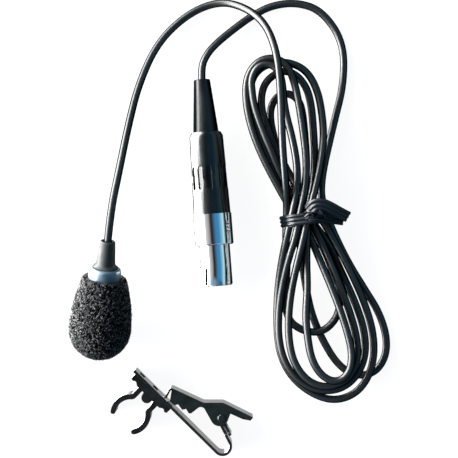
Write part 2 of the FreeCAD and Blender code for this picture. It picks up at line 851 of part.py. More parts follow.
def holder_arm(side):
    """One curved arm of the mic clamp; side is -1 or 1 along the strip."""
    radius = mic_clamp_radius + clamp_arm / 2
    foot_angle = math.degrees(math.asin(stem_spread / radius))
    centre = V(holder_middle, mic_clamp_drop, 0)
    root = V(holder_middle + side * stem_spread, strip_thickness, 0)
    reach = clamp_open_angle - foot_angle
    corners = []
    radii = []
    count = 2
    step = reach / count
    for n in range(count):
        angle = foot_angle + step * (n + 0.5)
        out = radius / math.cos(math.radians(step / 2))
        turn = math.radians(angle)
        corners.append(centre + V(side * math.sin(turn), -math.cos(turn), 0) * out)
        radii.append(radius)
    turn = math.radians(foot_angle)
    foot = centre + V(side * math.sin(turn), -math.cos(turn), 0) * radius
    turn = math.radians(clamp_open_angle)
    tip = centre + V(side * math.sin(turn), -math.cos(turn), 0) * radius
    points = [root, foot] + corners + [tip]
    flat = ribbon(points, [stem_bend_radius] + radii, clamp_arm)
    end = Part.Face(Part.Wire([Part.Circle(tip, UP, clamp_arm / 2).toShape()]))
    return [slab(flat, 0, clip_width), slab(end, 0, clip_width)]


def mic_holder():
    """A moulded base with feet, a boss and two curved arms, snapped through the strip."""
    face = strip_thickness / 2
    half = holder_length / 2
    low = face
    deep = face + holder_base
    edge = deep - holder_edge_drop
    toe = edge + holder_foot
    foot = holder_foot_length
    end = holder_end_round
    corners = [
        (-half, low), (-half, edge), (-half + end, toe), (-half + foot, toe), (-half + foot + end, edge),
        (-half + 2 * foot, edge), (-half + 3 * foot, deep),
    ]
    corners = corners + [(-a, b) for a, b in reversed(corners)]
    base = slab(outline([V(holder_middle + a, b, 0) for a, b in corners]), 0, clip_width)
    boss_half = boss_width / 2
    boss_face = face_of([
        line(V(-boss_half, face, 0), V(-boss_half, boss_drop - boss_half, 0)),
        arc(V(-boss_half, boss_drop - boss_half, 0), V(0, boss_drop, 0), V(boss_half, boss_drop - boss_half, 0)),
        line(V(boss_half, boss_drop - boss_half, 0), V(boss_half, face, 0)),
        line(V(boss_half, face, 0), V(-boss_half, face, 0)),
    ])
    boss_face.translate(V(holder_middle, 0, 0))
    pieces = [base, slab(boss_face, 0, clip_width)] + holder_arm(-1) + holder_arm(1)
    tab_half = slot_length / 2 - fit_gap
    for along in slot_places:
        pieces.append(Part.makeBox(
            2 * tab_half, strip_thickness + 0.2, holder_tab_height,
            V(along - tab_half, -face + 0.1, (clip_width - holder_tab_height) / 2),
        ))
    return holder_in_place(fused(pieces))


def holder_in_place(shape):
    """From (along, out) axes to the strip's own; the two are mirror images seen from above."""
    flipped = shape.mirror(V(0, 0, 0), V(0, 1, 0))
    return placed(flipped, strip_end, strip_way, UP)


def hank_point(point):
    """From the hank's own frame to the table."""
    along = heading(90 + hank_lean)
    across = heading(hank_lean)
    return hank_place + across * point.x + along * point.y + UP * point.z


def hank_way(way):
    return hank_point(way) - hank_place


def layer_height(layer):
    return cord_radius + layer_rise * layer


def waist_node(number):
    """Where a pass crosses the waist: down on the left if even, up on the right if odd."""
    layer = 3 - number // passes_per_layer
    place = number % passes_per_layer
    outward = (2 - place) if (number // passes_per_layer) % 2 == 0 else place
    offset = waist_step * (0.25 + 0.5 * outward)
    side = 1 if number % 2 else -1
    return V(side * offset, 0, layer_height(layer) + waist_lift), V(0, side, 0)


def lobe_nodes(number):
    """The three points of a half turn beyond its waist pass: near side, apex, far side."""
    upper = number % 2 == 1
    reach, left, right = (upper_lobes if upper else lower_lobes)[number // 2]
    way = 1 if upper else -1
    near, far = (right, left) if upper else (left, right)
    height = layer_height(3 - (number + 1) // passes_per_layer)
    belly = way * (reach - lobe_round * (right - left) / 2)
    return [
        (V(near, belly, height), V(0, way, 0)),
        (V((left + right) / 2, way * reach, height), V(-way, 0, 0)),
        (V(far, belly, height), V(0, -way, 0)),
    ]


def exit_way():
    return heading(90 - hank_exit_lean)


def hank_path():
    """Five and a half turns: each spirals at the waist, and climbs a layer at three of them."""
    down = V(0, -1, 0)
    nodes = [(hank_entry, down), (hank_crossing, down)]
    passes = 4 * passes_per_layer
    for number in range(passes):
        nodes.append(waist_node(number))
        if number < passes - 1:
            nodes += lobe_nodes(number)
    start = hank_entry - down * cord_diameter
    nodes.append((hank_exit, exit_way()))
    edges = [line(hank_point(start), hank_point(hank_entry))]
    for (a, a_way), (b, b_way) in zip(nodes, nodes[1:]):
        edges += biarc(hank_point(a), hank_way(a_way), hank_point(b), hank_way(b_way))
    edges.append(line(hank_point(hank_exit), hank_point(hank_exit + exit_way() * cord_diameter)))
    return Part.Wire(edges)


def least_gap(path):
    """The least distance between the tube's surfaces where it passes itself."""
    step = cord_radius
    points = []
    for edge in path.Edges:
        count = max(int(edge.Length / step), 1)
        points += edge.discretize(count + 1)[:-1]
    skip = int(3 * cord_diameter / step) + 2
    least = 1e9
    for i, a in enumerate(points):
        for b in points[i + skip:]:
            least = min(least, (a - b).Length)
    return least - cord_diameter


def cord_hank():
    path = hank_path()
    body = swept(path, cord_radius, cord_sides)
    print("hank length %.0f mm, least gap %.2f mm" % (path.Length, least_gap(path)))
    return body


def lead(name, start, route, end):
    """A free stretch of cord: straight runs with an arc at each point, as large as the runs allow."""
    points = [start] + list(route) + [end]
    radii = []
    for before, corner, after in zip(points, points[1:], points[2:]):
        back = before - corner
        ahead = after - corner
        turn = math.pi - back.getAngle(ahead)
        shorter = min(back.Length, ahead.Length)
        radii.append(bend_share * shorter / math.tan(turn / 2))
    path = path_of(rounded_corners(points, radii))
    body = swept(path, cord_radius, cord_sides)
    section = cord_sides / 2 * cord_radius ** 2 * math.sin(2 * math.pi / cord_sides)
    wanted = section * path.Length
    runs = [(b - a).Length for a, b in zip(points, points[1:])]
    print(name, "length %.0f mm, volume %.4f of section by length" % (path.Length, body.Volume / wanted))
    print("  radii", [round(r, 1) for r in radii])
    print("  runs", [round(r, 1) for r in runs])
    return body


def mic_lead():
    start = mic_origin + mic_axis * boot_mouth
    end = hank_point(hank_entry + V(0, cord_diameter, 0))
    first = start + mic_axis * mic_lead_first
    last = end + hank_way(V(0, 1, 0)) * mic_lead_last
    return lead("mic lead", start, [first, *mic_lead_route, last], end)


def plug_lead():
    start = plug_origin + plug_axis * plug_mouth
    end = hank_point(hank_exit + exit_way() * cord_diameter)
    first = start + plug_axis * plug_lead_first
    last = end + hank_way(exit_way()) * plug_lead_last
    return lead("plug lead", start, [first, *plug_lead_route, last], end)


def tie_block(length, width, thickness):
    return Part.makeBox(length, width, thickness, V(0, -width / 2, -thickness / 2))


def twist_tie():
    """A flat band round the waist with a twisted knot and two flat ends on its right."""
    side = waist_step * 1.25 + cord_radius + tie_slack
    bottom = waist_lift - tie_slack
    top = layer_height(3) + waist_lift + cord_radius + tie_slack
    grow = tie_thickness
    inner = Part.makeBox(2 * side, 2 * tie_width, top - bottom, V(-side, -tie_width, bottom))
    outer = Part.makeBox(2 * (side + grow), tie_width, top - bottom + 2 * grow,
                         V(-side - grow, -tie_width / 2, bottom - grow))
    along_y = [e for e in outer.Edges if abs(e.tangentAt(e.FirstParameter).y) > 0.9]
    outer = outer.makeFillet(tie_corner, along_y)
    inner_y = [e for e in inner.Edges if abs(e.tangentAt(e.FirstParameter).y) > 0.9]
    inner = inner.makeFillet(tie_corner - grow, inner_y)
    band = outer.cut(inner)
    height = (top + bottom) / 2
    sections = []
    steps = 3
    for n in range(steps + 1):
        turn = math.radians(90 + 60 * n)
        x = side + grow / 2 + tie_knot_length * n / steps
        flat = V(0, math.cos(turn), math.sin(turn)) * (tie_width * 0.42)
        thick = V(0, -math.sin(turn), math.cos(turn)) * tie_thickness
        middle = V(x, 0, height)
        corners = [middle + flat + thick, middle - flat + thick, middle - flat - thick, middle + flat - thick]
        sections.append(Part.makePolygon(corners + corners[:1]))
    knot = Part.makeLoft(sections, True, True)
    pieces = [band, knot]
    knot_end = V(side + grow / 2 + tie_knot_length - 0.4, 0, height)
    for sign, angle in zip((1, -1), tie_tail_angles):
        end = tie_block(tie_tail_length, tie_width, tie_thickness)
        end.rotate(V(0, 0, 0), V(0, 1, 0), sign * -12)
        end.rotate(V(0, 0, 0), UP, angle)
        end.translate(knot_end + UP * (sign * tie_thickness * 0.45))
        pieces.append(end)
    body = fused(pieces)
    return placed(body, hank_place, heading(hank_lean), UP)


nodes = {
    "windscreen": windscreen,
    "mic_housing": mic_housing,
    "mic_grille": mic_grille,
    "capsule_felt": capsule_felt,
    "electret_capsule": electret_capsule,
    "capsule_gasket": capsule_gasket,
    "capsule_board": capsule_board,
    "mic_wires": mic_wires,
    "mic_boot": mic_boot,
    "mic_lead": mic_lead,
    "cord_hank": cord_hank,
    "plug_lead": plug_lead,
    "twist_tie": twist_tie,
    "plug_boot": plug_boot,
    "plug_sleeve": plug_sleeve,
    "plug_barrel": plug_barrel,
    "plug_insert": plug_insert,
    "plug_contacts": plug_contacts,
    "plug_clamp": plug_clamp,
    "plug_wires": plug_wires,
    "plug_latch": plug_latch,
    "latch_spring": latch_spring,
    "clip_strip": clip_strip,
    "clip_jaw": clip_jaw,
    "clip_pin": clip_pin,
    "clip_spring": clip_spring,
    "mic_holder": mic_holder,
}

os.makedirs("parts", exist_ok=True)
for node, make in nodes.items():
    make().exportStep("parts/%s.step" % node)
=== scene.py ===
import bmesh
import bpy
import math
from mathutils import Matrix, Vector, noise


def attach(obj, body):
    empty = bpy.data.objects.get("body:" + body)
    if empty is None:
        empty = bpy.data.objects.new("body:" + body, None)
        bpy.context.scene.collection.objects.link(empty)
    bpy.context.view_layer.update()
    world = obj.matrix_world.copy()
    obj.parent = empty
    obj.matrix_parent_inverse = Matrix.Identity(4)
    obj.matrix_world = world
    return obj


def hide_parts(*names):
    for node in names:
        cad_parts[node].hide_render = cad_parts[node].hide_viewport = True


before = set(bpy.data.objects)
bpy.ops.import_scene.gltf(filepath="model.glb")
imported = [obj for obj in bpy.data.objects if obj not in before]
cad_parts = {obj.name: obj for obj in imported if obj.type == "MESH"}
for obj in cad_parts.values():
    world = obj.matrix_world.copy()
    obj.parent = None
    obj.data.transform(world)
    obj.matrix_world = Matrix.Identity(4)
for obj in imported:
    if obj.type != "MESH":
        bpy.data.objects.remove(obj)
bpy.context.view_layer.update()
bpy.context.scene.view_settings.view_transform = "Standard"

# Lengths below are written in millimetres, unless they say otherwise, and made metres by this.
MM = 0.001


def mm(*values):
    return Vector(values) * MM


# Places of the main pieces, as the solids have them
MIC_ORIGIN = mm(-18.17542, -3.85861, 6.64965)
MIC_LEAN, MIC_TILT = math.radians(7.0), math.radians(16.0)
PLUG_ORIGIN = mm(16.73, 18.04, 5.55)
PLUG_LEAN = math.radians(4.4)
HANK_PLACE = mm(41.7, 37.0, 0.0)
HANK_LEAN = math.radians(9.3)


def heading(angle):
    return Vector((math.cos(angle), math.sin(angle), 0))


def axes_to_place(origin, x_axis, z_axis):
    """The matrix from a piece's own axes to the table."""
    turn = Matrix((x_axis, z_axis.cross(x_axis), z_axis)).transposed()
    return Matrix.Translation(origin) @ turn.to_4x4()


mic_flat = heading(math.pi / 2 - MIC_LEAN)
MIC_AXIS = mic_flat * math.cos(MIC_TILT) + Vector((0, 0, 1)) * math.sin(MIC_TILT)
IN_MIC = axes_to_place(MIC_ORIGIN, heading(-MIC_LEAN), MIC_AXIS)
PLUG_AXIS = heading(math.pi / 2 + PLUG_LEAN)
IN_HANK = Matrix.Translation(HANK_PLACE) @ Matrix.Rotation(HANK_LEAN, 4, "Z")


# Camera, straight above the table as in the photograph

EYE = (20.0, 34.4, 335.0)
# The height at which the frame's scale holds, and what it shows there on each side of its middle
SIGHT_LEVEL, HALF_VIEW = 5.0, 66.4
SIGHT = EYE[2] - SIGHT_LEVEL
camera_data = bpy.data.cameras.new("camera")
camera_data.angle = 2 * math.atan(HALF_VIEW / SIGHT)
camera_data.clip_start = 0.01
camera = bpy.data.objects.new("camera", camera_data)
camera.location = mm(*EYE)
bpy.context.scene.collection.objects.link(camera)
bpy.context.scene.camera = camera


# Cord: one spline from the head's boot through the hank to the plug's boot

CORD_DIAMETER = 2.2
# Where the boots of the head and the plug let the cord out, and how far it runs on straight
MIC_BOOT_END, MIC_RUN = 35.8, 9.5
PLUG_BOOT_END, PLUG_RUN = 58.9, 4.0
MIC_EXIT = MIC_ORIGIN + MIC_AXIS * (MIC_BOOT_END * MM)
PLUG_EXIT = PLUG_ORIGIN + PLUG_AXIS * (PLUG_BOOT_END * MM)
MIC_LEAD = (
    (-10.7, 50.2, 18.2), (-8.7, 63.0, 12.6), (-6.1, 76.3, 6.4), (-0.8, 89.1, 2.2), (8.2, 97.8, 1.15),
    (17.4, 101.2, 1.6), (25.0, 98.4, 5.9), (30.4, 93.2, 9.6), (33.3, 85.4, 12.6), (34.5, 75.8, 13.9),
)
PLUG_LEAD = (
    (13.2, 84.6, 4.6), (16.0, 88.2, 3.4), (21.0, 92.6, 1.9), (26.5, 96.8, 1.1), (32.5, 100.0, 1.1),
    (40.0, 100.9, 1.1), (47.3, 98.4, 1.1), (53.6, 89.3, 1.1), (53.7, 76.9, 1.1), (50.6, 64.9, 1.1),
)
# Seen from above, the frame is 458 units wide: its middle, and what a unit covers at SIGHT_LEVEL
FRAME_MIDDLE, FRAME_UNIT = 229, 0.29
# The hank's turns as they lie, read from above: across and down the frame, then the height in
# millimetres. Each entry is half a turn, below or above the tie, or the short stretch at an end.
HANK_TURNS = (
    ((282, 140, 13.6), (284, 166, 13.6)),
    ((286, 190, 12.2), (287, 212, 8.6), (285.5, 236, 6.6), (287.5, 262, 4.9), (285, 292, 4.2),
     (286.5, 319, 4.2), (303, 331.5, 4.2), (323, 332.5, 4.2), (338, 317, 4.2), (340.5, 297, 4.2),
     (332, 268, 3.6), (320, 240, 3.2)),
    ((300, 212, 3.4), (284, 183, 5.8), (272, 153, 8.6), (261.5, 128, 9.2), (254, 106, 9.4),
     (252, 92, 9.6), (251, 80, 9.9), (255, 69.5, 10.2), (262.5, 64, 10.2), (272, 64.5, 10.2),
     (279.5, 71.5, 10.2), (282.5, 84, 9.8), (283.5, 99, 9.0), (286, 115, 8.8), (292, 137, 9.0),
     (297, 163, 9.8), (297.5, 188, 10.7), (292.5, 212, 10.7)),
    ((287, 236, 9.6), (281.5, 262, 6.2), (277.5, 292, 3.2), (276.5, 325, 2.6), (279.5, 354, 2.6),
     (291, 377, 2.8), (311, 393.5, 3.2), (333, 401, 3.5), (354, 395, 3.5), (368, 379, 3.5),
     (374.5, 356, 3.5), (373, 330, 3.5), (364, 301, 3.7), (349.5, 269, 5.0), (333, 238, 5.7)),
    ((317, 212, 5.7), (295, 184, 5.2), (280, 157, 4.9), (268.5, 131, 5.6), (261, 109, 6.0),
     (262, 89, 6.0), (270, 77, 6.0), (284, 70, 6.0), (297, 75, 5.8), (307, 88, 5.6), (311.5, 106, 5.6),
     (313.5, 131, 5.8), (315, 158, 6.4), (313.5, 184, 7.2), (307.5, 210, 8.1)),
    ((307, 236, 8.1), (306.5, 262, 7.8), (307.5, 290, 8.7), (305.5, 316, 9.2), (308, 341, 9.2),
     (311.5, 359, 9.2), (319.5, 373.5, 9.2), (331, 381.5, 9.2), (342.5, 380, 9.2), (350.5, 369.5, 9.2),
     (352, 353, 9.2), (348.5, 336, 9.2), (341, 312, 8.8), (331, 286, 7.8), (319, 258, 6.6),
     (309, 234, 5.7)),
    ((290, 208, 5.7), (276, 183, 6.8), (261, 154, 7.8), (250.5, 126, 8.0), (245.5, 100, 8.0),
     (246.5, 77, 8.0), (257, 61.5, 8.0), (273, 57, 8.0), (287, 64, 8.2), (294.5, 82, 8.4),
     (299, 104, 8.6), (303, 130, 8.8), (306.5, 158, 9.8), (306, 186, 10.7), (300, 212, 10.7)),
    ((296, 236, 10.4), (288, 260, 8.6), (282, 286, 6.4), (278.5, 312, 5.4), (278.5, 340, 5.3),
     (285, 364, 5.3), (299, 382, 5.3), (320, 391.5, 5.2), (342, 389, 5.2), (358, 375, 5.2),
     (366, 354, 5.2), (364.5, 330, 5.2), (356, 304, 4.8), (341.5, 272, 3.0), (326, 238, 1.4)),
    ((300, 208, 1.2), (278, 181, 2.8), (264, 152, 4.8), (254, 126, 5.7), (249, 102, 5.8),
     (251, 80, 5.8), (260.5, 67.5, 5.8), (275, 62.5, 5.9), (291, 62.5, 6.0), (307, 71, 6.0),
     (317.5, 90, 6.0), (322, 113, 6.2), (324, 138, 6.8), (320, 166, 9.0), (314, 194, 10.7),
     (308.5, 212, 10.7)),
    ((304, 236, 10.6), (298, 260, 9.4), (292, 286, 7.6), (288.5, 312, 7.2), (288.5, 340, 7.2),
     (294, 364, 7.2), (308, 382, 7.2), (327, 388, 7.2), (346, 381.5, 7.2), (357, 364, 7.2),
     (358, 343, 7.2), (352, 318, 7.0), (341, 288, 6.7), (329.5, 260, 6.0), (319, 236, 5.7)),
    ((306, 212, 5.2), (294, 188, 2.8), (280, 158, 2.2), (273, 134, 3.0), (270, 117, 3.7),
     (271.5, 104, 3.7), (279.5, 94.5, 3.7), (290.5, 93.5, 3.7), (299.5, 101, 3.7), (303, 115, 3.7),
     (305.5, 142, 3.7), (307, 168, 4.6), (304, 190, 6.6), (298.5, 210, 8.1)),
    ((299, 236, 7.6), (302, 262, 4.4), (306, 288, 2.2), (312, 316, 2.0), (324, 343, 1.8),
     (338, 365, 1.4), (355, 376, 1.1), (374, 373.5, 1.1), (385.5, 358, 1.1), (387, 337, 1.1),
     (379, 312, 1.1), (364.5, 289, 1.1), (349, 264, 1.1), (336, 238, 1.3)),
    ((325, 212, 1.4), (319.5, 186, 1.2)),
)


def from_above(across, down, height):
    """The point at this height that is seen at this place of the frame."""
    unit = FRAME_UNIT * (EYE[2] - height) / SIGHT
    return mm(EYE[0] + (across - FRAME_MIDDLE) * unit, EYE[1] + (FRAME_MIDDLE - down) * unit, height)


def cord_route():
    route = [MIC_EXIT, MIC_EXIT + MIC_AXIS * (MIC_RUN * MM)]
    route += [mm(*p) for p in MIC_LEAD]
    for turn in HANK_TURNS:
        route += [from_above(*p) for p in turn]
    route += [mm(*p) for p in reversed(PLUG_LEAD)]
    return route + [PLUG_EXIT + PLUG_AXIS * (PLUG_RUN * MM), PLUG_EXIT]


def smooth_line(name, points):
    """A NURBS curve that starts at its first point, ends at its last and rounds those between."""
    curve = bpy.data.curves.new(name, "CURVE")
    curve.dimensions = "3D"
    spline = curve.splines.new("NURBS")
    spline.points.add(len(points) - 1)
    for point, place in zip(spline.points, points):
        point.co = (*place, 1.0)
    spline.order_u = 3
    spline.use_endpoint_u = True
    made = bpy.data.objects.new(name, curve)
    bpy.context.scene.collection.objects.link(made)
    return made


# Colour and node helpers


def hex_colour(text):
    """An sRGB hex value as a linear colour with alpha."""
    channels = [int(text[i:i + 2], 16) / 255 for i in (0, 2, 4)]
    linear = [c / 12.92 if c <= 0.04045 else ((c + 0.055) / 1.055) ** 2.4 for c in channels]
    return (*linear, 1.0)


def add(tree, kind, values=None, links=None, **settings):
    """A node with its settings, its values and what it reads: input name to (node, output name)."""
    made = tree.nodes.new(kind)
    for name, value in settings.items():
        setattr(made, name, value)
    for name, value in (values or {}).items():
        made.inputs[name].default_value = value
    for name, (source, output) in (links or {}).items():
        tree.links.new(source.outputs[output], made.inputs[name])
    return made


def ramp(tree, source, output, stops):
    """A colour ramp over (place, colour) stops."""
    made = add(tree, "ShaderNodeValToRGB", links={"Fac": (source, output)})
    points = made.color_ramp.elements
    while len(points) < len(stops):
        points.new(0.5)
    for point, (place, colour) in zip(points, stops):
        point.position = place
        point.color = colour
    return made


def material(name, build):
    made = bpy.data.materials.new(name)
    made.use_nodes = True
    tree = made.node_tree
    tree.nodes.clear()
    shader = build(tree)
    add(tree, "ShaderNodeOutputMaterial", links={"Surface": (shader, 0)})
    return made


def blend(tree, first, first_output, second, second_output, way="MIX"):
    """Two colours blended, wholly to the second unless its factor is linked."""
    made = add(tree, "ShaderNodeMix", data_type="RGBA", blend_type=way)
    made.inputs[0].default_value = 1.0
    tree.links.new(first.outputs[first_output], made.inputs[6])
    tree.links.new(second.outputs[second_output], made.inputs[7])
    return made


def size_of(length_mm):
    """A texture's scale for a pattern that repeats at this length."""
    return 1.0 / (length_mm * MM)


# Nearly all of a noise texture's values lie between these.
NOISE_LOW, NOISE_HIGH = 0.3, 0.7


def grain(tree, length_mm, detail=3.0, rough=0.5):
    """Noise that repeats at about this length."""
    place = add(tree, "ShaderNodeTexCoord")
    return add(
        tree, "ShaderNodeTexNoise",
        {"Scale": size_of(length_mm), "Detail": detail, "Roughness": rough},
        {"Vector": (place, "Object")},
    )


def between(tree, source, output, low, high):
    """Noise stretched to run from low to high."""
    return add(
        tree, "ShaderNodeMapRange",
        {"From Min": NOISE_LOW, "From Max": NOISE_HIGH, "To Min": low, "To Max": high},
        {"Value": (source, output)},
    )


def relief(tree, source, output, depth_mm):
    return add(
        tree, "ShaderNodeBump",
        {"Strength": 1.0, "Distance": depth_mm * MM},
        {"Height": (source, output)},
    )


# Finishes


def foam_finish(tree):
    # Open-cell polyurethane foam: soot black. Its colour carries painted shade, near black, down in the
    # cells' pits, and a painted
    # # highlight, pale grey, on the cut edges of its cells, which the piece's own "cell_edge" value
    # marks. Random noise breaks that painted highlight into specks, and the edges also catch the light as
    # specks with a stronger shine.
    edge = add(tree, "ShaderNodeAttribute", attribute_name="cell_edge")
    speck_noise = grain(tree, 0.5, 2.0, 0.6)
    # Painted shade in the pits and a painted highlight on the cell edges, set by cell_edge.
    walls = ramp(tree, edge, "Fac", [
        (0.45, hex_colour("010101")), (0.85, hex_colour("0d0e0e")), (1.0, hex_colour("6e6f70")),
    ])
    # Random noise that scatters the painted highlight into pale and dark specks.
    tone = ramp(tree, speck_noise, "Fac", [(0.46, hex_colour("1c1c1c")), (0.6, hex_colour("ffffff"))])
    shine = add(
        tree, "ShaderNodeMapRange",
        {"From Min": 0.75, "From Max": 1.0, "To Min": 0.0, "To Max": 0.32},
        {"Value": (edge, "Fac")},
    )
    colour = blend(tree, walls, "Color", tone, "Color", "MULTIPLY")
    return add(
        tree, "ShaderNodeBsdfPrincipled",
        {"Roughness": 0.5},
        {"Base Color": (colour, 2), "Specular IOR Level": (shine, "Result")},
    )


def moulded(tree, colour, roughness, grain_mm, depth_mm, specular=0.5, dull_from=0.0, dull_to=0.0):
    """Plastic, rubber, felt or lacquer, between two colours, with a fine relief.

    Its shine can fade as the surface turns away, from one facing share to another.
    """
    fine = grain(tree, grain_mm)
    broad = grain(tree, grain_mm * 14, 2.0)
    gloss = between(tree, broad, "Fac", roughness * 0.85, roughness * 1.15)
    tint = ramp(tree, broad, "Fac", [
        (NOISE_LOW, hex_colour(colour[0])), (NOISE_HIGH, hex_colour(colour[1])),
    ])
    bump = relief(tree, fine, "Fac", depth_mm)
    shader = add(
        tree, "ShaderNodeBsdfPrincipled",
        {"Specular IOR Level": specular, "IOR": 1.5},
        {"Base Color": (tint, "Color"), "Roughness": (gloss, "Result"), "Normal": (bump, "Normal")},
    )
    if dull_to:
        turned_away = add(tree, "ShaderNodeLayerWeight", {"Blend": 0.5})
        shine = add(
            tree, "ShaderNodeMapRange",
            {"From Min": dull_from, "From Max": dull_to, "To Min": specular, "To Max": 0.0},
            {"Value": (turned_away, "Facing")},
        )
        tree.links.new(shine.outputs["Result"], shader.inputs["Specular IOR Level"])
    return shader


def metal(tree, colour, roughness, grain_mm, depth_mm):
    """Bare or plated metal with a fine relief."""
    fine = grain(tree, grain_mm, 4.0)
    broad = grain(tree, grain_mm * 20, 2.0)
    gloss = between(tree, broad, "Fac", roughness * 0.8, roughness * 1.25)
    bump = relief(tree, fine, "Fac", depth_mm)
    return add(
        tree, "ShaderNodeBsdfPrincipled",
        {"Metallic": 1.0, "Base Color": hex_colour(colour)},
        {"Roughness": (gloss, "Result"), "Normal": (bump, "Normal")},
    )


def painted_dark_rim(tree, shader):
    """A mirror-bright piece gets painted shade: a thin flat dark grey line where its side turns out of
    sight, in place of its reflection there.
    """
    turned_away = add(tree, "ShaderNodeLayerWeight", {"Blend": 0.5})
    rim = add(tree, "ShaderNodeMapRange", {"From Min": 0.6, "From Max": 0.68},
              {"Value": (turned_away, "Facing")})
    # Painted shade: a flat dark grey that replaces the mirror at the flanks.
    line = add(tree, "ShaderNodeBsdfDiffuse", {"Color": hex_colour("2c2f32")})
    return add(tree, "ShaderNodeMixShader", links={"Fac": (rim, "Result"), 1: (shader, 0), 2: (line, 0)})


def plastic(name, *look, **shine):
    return material(name, lambda tree: moulded(tree, *look, **shine))


def plated(name, *look):
    return material(name, lambda tree: metal(tree, *look))


FOAM = material("open_cell_foam", foam_finish)
# Extruded PVC: smooth and oily black, so that the window draws one long soft streak down it.
# The shine fades towards its flanks, so that they stay black against the table.
CORD = plastic(
    "black_pvc_jacket", ("050606", "080a0a"), 0.36, 1.6, 0.012,
    specular=0.7, dull_from=0.1, dull_to=0.42,
)
# Moulded elastomer: soft black, with a broad dull sheen down the lit side.
RUBBER = plastic(
    "black_elastomer", ("0d1112", "161b1c"), 0.6, 0.14, 0.03,
    specular=0.4, dull_from=0.25, dull_to=0.75,
)
# The plug's boot is a smoother grade, which keeps its highlight narrow.
SMOOTH_RUBBER = plastic(
    "smooth_black_elastomer", ("050708", "080b0c"), 0.32, 0.4, 0.003,
    specular=0.4, dull_from=0.06, dull_to=0.34,
)
# Injection-moulded ABS from a polished tool: cold black, with a sheen that fades over a few millimetres.
ABS = plastic(
    "polished_black_abs", ("020505", "040809"), 0.24, 0.5, 0.002,
    specular=0.5, dull_from=0.35, dull_to=0.68,
)
ACETAL = plastic("black_acetal", ("030404", "060707"), 0.38, 0.15, 0.006, specular=0.3)
TIE = plastic(
    "black_soft_pvc", ("05070a", "0a0e15"), 0.4, 0.9, 0.02,
    specular=0.5, dull_from=0.1, dull_to=0.4,
)
# Bright chromium plate over nickel: near mirror, with a painted dark line of shade along its flanks.
CHROME = material("chromium_plate", lambda t: painted_dark_rim(t, metal(t, "e6e9eb", 0.06, 0.8, 0.0003)))
# The head's ring is plated over a fine bead-blasted shell, so that it takes the sky's colour evenly.
SATIN_CHROME = plated("satin_chromium_plate", "64747f", 0.5, 0.08, 0.002)
NICKEL = plated("satin_nickel_plate", "cdd3d6", 0.2, 0.05, 0.0015)
# Lacquered spring steel: black with a hard gloss, which mirrors the room at a low angle.
CLIP_STEEL = plastic("black_lacquered_steel", ("0b0e0d", "121614"), 0.25, 0.25, 0.004)
MUSIC_WIRE = plated("drawn_music_wire", "8b8c8d", 0.25, 0.08, 0.001)
GOLD = plated("gold_plated_brass", "d9b46a", 0.22, 0.1, 0.001)
CAN = plated("drawn_aluminium_can", "c8c9cb", 0.3, 0.1, 0.002)
FELT = plastic("pressed_black_felt", ("121212", "1c1c1c"), 0.95, 0.1, 0.03, specular=0.2)
BOARD = plastic("green_fibreglass", ("13502c", "1b6a3a"), 0.4, 0.3, 0.004)
WIRES = plastic("red_pvc_insulation", ("8e1c18", "a5251f"), 0.35, 0.3, 0.004)


# Meshes and repeated pieces

# Corners nearer than this are one corner.
MERGE = 2e-6
# Edges sharper than this stay sharp: on pieces made here, on the solids, and where a solid is bevelled
CREASE_DEG, SOLID_CREASE_DEG, BEVEL_DEG = 40, 32, 40
# Neighbouring triangles of a solid that lie flatter than this are one face.
FLAT_DEG = 0.6
# Points round a lathed rigid piece
LATHE_POINTS = 96


def shown(name, shape, finish, smooth_deg=None):
    """An object from a bmesh, with its seams closed and its faces turned outwards."""
    bmesh.ops.remove_doubles(shape, verts=shape.verts, dist=MERGE)
    bmesh.ops.recalc_face_normals(shape, faces=shape.faces)
    mesh = bpy.data.meshes.new(name)
    shape.to_mesh(mesh)
    shape.free()
    mesh.materials.append(finish)
    for face in mesh.polygons:
        face.use_smooth = True
    if smooth_deg:
        mesh.set_sharp_from_angle(angle=math.radians(smooth_deg))
    made = bpy.data.objects.new(name, mesh)
    bpy.context.scene.collection.objects.link(made)
    return made


def skinned(shape, rings, closed=False):
    """Faces between rows of points; a row of one point is a pole, and closed joins last to first."""
    rows = [[shape.verts.new(p) for p in ring] for ring in rings]
    if closed:
        rows.append(rows[0])
    for low, high in zip(rows, rows[1:]):
        count = max(len(low), len(high))
        for n in range(count):
            m = (n + 1) % count
            corners = (low[n % len(low)], low[m % len(low)], high[m % len(high)], high[n % len(high)])
            shape.faces.new(list(dict.fromkeys(corners)))
    return rows


def circle(radius, height, around):
    """Points round the head's own axis; a radius of 0 gives one point."""
    if not radius:
        return [mm(0, 0, height)]
    turns = [2 * math.pi * n / around for n in range(around)]
    return [mm(radius * math.cos(a), radius * math.sin(a), height) for a in turns]


def turned(name, profile, finish, closed=False):
    """A lathed piece of the head from its profile of radius and height in millimetres."""
    shape = bmesh.new()
    skinned(shape, [circle(r, h, LATHE_POINTS) for r, h in profile], closed)
    bmesh.ops.transform(shape, matrix=IN_MIC, verts=shape.verts)
    return shown(name, shape, finish, CREASE_DEG)


def geometry_tree(name, inputs):
    """An empty node tree that takes a mesh and named sizes, with its ends ready to link."""
    tree = bpy.data.node_groups.new(name, "GeometryNodeTree")
    tree.interface.new_socket("Geometry", in_out="INPUT", socket_type="NodeSocketGeometry")
    for label, kind in inputs:
        tree.interface.new_socket(label, in_out="INPUT", socket_type=kind)
    tree.interface.new_socket("Geometry", in_out="OUTPUT", socket_type="NodeSocketGeometry")
    return tree, tree.nodes.new("NodeGroupInput")


def finish_tree(tree, source, output, finish):
    real = add(tree, "GeometryNodeRealizeInstances", links={"Geometry": (source, output)})
    paint = add(tree, "GeometryNodeSetMaterial", {"Material": finish}, {"Geometry": (real, "Geometry")})
    add(tree, "NodeGroupOutput", links={"Geometry": (paint, "Geometry")})


